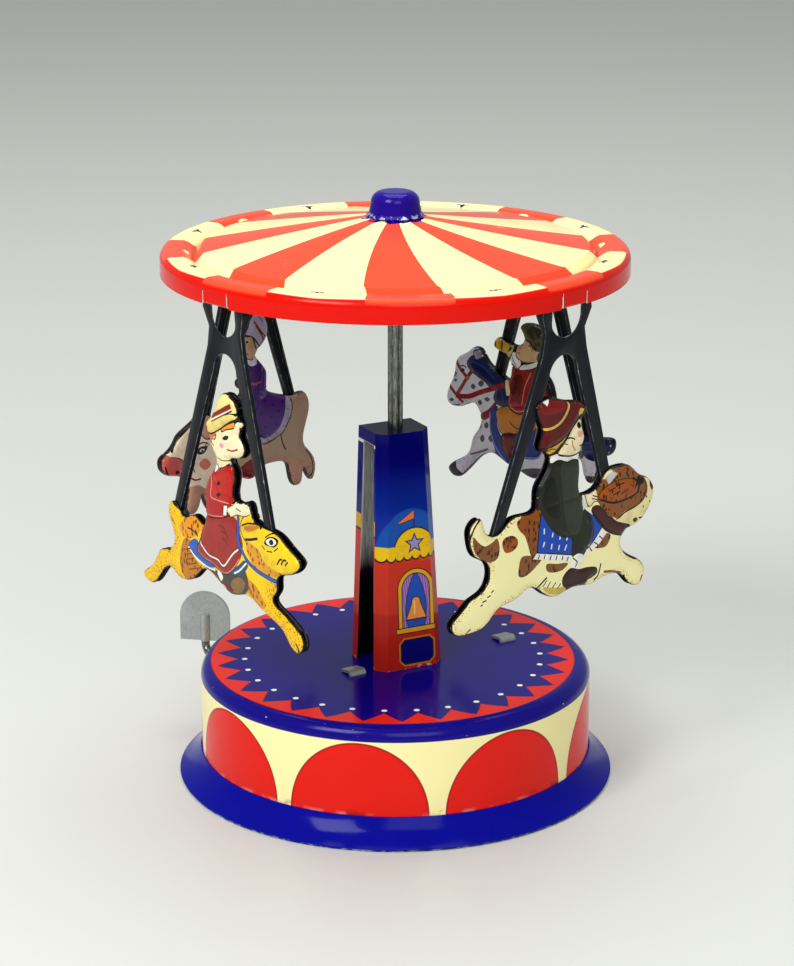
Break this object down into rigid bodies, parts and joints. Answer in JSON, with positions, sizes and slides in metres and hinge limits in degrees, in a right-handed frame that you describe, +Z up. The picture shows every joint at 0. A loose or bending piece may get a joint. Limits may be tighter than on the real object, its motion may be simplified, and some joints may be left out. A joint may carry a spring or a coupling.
{
  "type": "wind-up tin carousel",
  "caption": "Wind-up tin carousel: a clockwork drum turns a striped canopy, and riders on pressed animals hang from its rim on forked hangers that fly outwards.",
  "frame": {"origin": "on the spindle axis, in the plane that the foot ring rests on", "axes": "+Z up along the spindle, +X to the right of a viewer who faces the toy along +Y"},
  "size_m": [0.1375, 0.1357, 0.1631],
  "materials": {
    "blue_paint": "glossy dark-blue lacquer on tin",
    "drum_print": "printed tin: blue top with a red toothed ring, cream wall with red arches",
    "plain_tin": "bare tinplate",
    "booth_print": "printed tin outside, bare tin inside",
    "canopy_print": "printed tin: cream with red stripes and a red rim",
    "steel": "drawn steel",
    "motor_steel": "stamped steel",
    "gear_brass": "stamped brass",
    "hanger_black": "blue-black lacquer on tin",
    "rabbit_print": "printed pressed tin",
    "dog_print": "printed pressed tin",
    "horse_print": "printed pressed tin",
    "pig_print": "printed pressed tin"
  },
  "bodies": {
    "base": {"foot_ring": "blue_paint", "drum_shell": "drum_print", "bottom_plate": "plain_tin", "tower": "booth_print", "motor_plate_front": "motor_steel", "motor_plate_back": "motor_steel", "motor_pillars": "steel", "shaft_bridge": "motor_steel", "mainspring": "motor_steel"},
    "rotor": {"shaft_tube": "steel", "canopy": "canopy_print", "canopy_hub": "steel", "cap": "blue_paint", "spindle": "steel", "spindle_pinion": "gear_brass"},
    "rabbit_swing": {"rabbit_hanger": "hanger_black", "rabbit_outer_half": "rabbit_print", "rabbit_inner_half": "rabbit_print"},
    "dog_swing": {"dog_hanger": "hanger_black", "dog_outer_half": "dog_print", "dog_inner_half": "dog_print"},
    "horse_swing": {"horse_hanger": "hanger_black", "horse_outer_half": "horse_print", "horse_inner_half": "horse_print"},
    "pig_swing": {"pig_hanger": "hanger_black", "pig_outer_half": "pig_print", "pig_inner_half": "pig_print"},
    "winder": {"winding_arbor": "steel", "ratchet_wheel": "motor_steel", "key_plate": "plain_tin"},
    "great_wheel_set": {"great_wheel": "gear_brass", "click_spring": "motor_steel"},
    "click": {"ratchet_click": "motor_steel"},
    "lay_set": {"lay_arbor": "steel", "lay_pinion": "gear_brass", "lay_wheel": "gear_brass"},
    "crown_set": {"crown_arbor": "steel", "crown_pinion": "gear_brass", "crown_wheel": "gear_brass"}
  },
  "joints": [
    {"name": "canopy_spin", "type": "hinge", "parent": "base", "child": "rotor", "pos_m": [0, 0, 0.1], "axis": [0, 0, 1], "continuous": true},
    {"name": "rabbit_swing_out", "type": "hinge", "parent": "rotor", "child": "rabbit_swing", "pos_m": [-0.04352, -0.04101, 0.1426], "axis": [-0.6198, 0.7848, 0], "range_deg": [-12, 30]},
    {"name": "dog_swing_out", "type": "hinge", "parent": "rotor", "child": "dog_swing", "pos_m": [0.04338, -0.04116, 0.1426], "axis": [-0.749, -0.6626, 0], "range_deg": [-12, 30]},
    {"name": "horse_swing_out", "type": "hinge", "parent": "rotor", "child": "horse_swing", "pos_m": [0.04116, 0.04338, 0.1426], "axis": [0.7254, -0.6884, 0], "range_deg": [-12, 30]},
    {"name": "pig_swing_out", "type": "hinge", "parent": "rotor", "child": "pig_swing", "pos_m": [-0.04338, 0.04116, 0.1426], "axis": [0.6884, 0.7254, 0], "range_deg": [-12, 30]},
    {"name": "crown_spin", "type": "hinge", "parent": "base", "child": "crown_set", "pos_m": [0, 0, 0.0202], "axis": [-0.5358, 0.8443, 0], "continuous": true},
    {"name": "lay_spin", "type": "hinge", "parent": "base", "child": "lay_set", "pos_m": [-0.01077, -0.00683, 0.0202], "axis": [-0.5358, 0.8443, 0], "continuous": true},
    {"name": "great_spin", "type": "hinge", "parent": "base", "child": "great_wheel_set", "pos_m": [-0.02301, -0.0146, 0.0202], "axis": [-0.5358, 0.8443, 0], "continuous": true},
    {"name": "key_turn", "type": "hinge", "parent": "great_wheel_set", "child": "winder", "pos_m": [-0.02301, -0.0146, 0.0202], "axis": [0.5358, -0.8443, 0], "range_deg": [0, 1440]},
    {"name": "click_rock", "type": "hinge", "parent": "great_wheel_set", "child": "click", "pos_m": [-0.02301, -0.0146, 0.0286], "axis": [0.5358, -0.8443, 0], "range_deg": [0, 8], "stiffness_Nm_per_rad": 0.0004}
  ],
  "couplings": [
    {"joint": "crown_spin", "follows": "canopy_spin", "ratio": -0.5},
    {"joint": "lay_spin", "follows": "canopy_spin", "ratio": 0.20833},
    {"joint": "great_spin", "follows": "canopy_spin", "ratio": -0.079365}
  ]
}
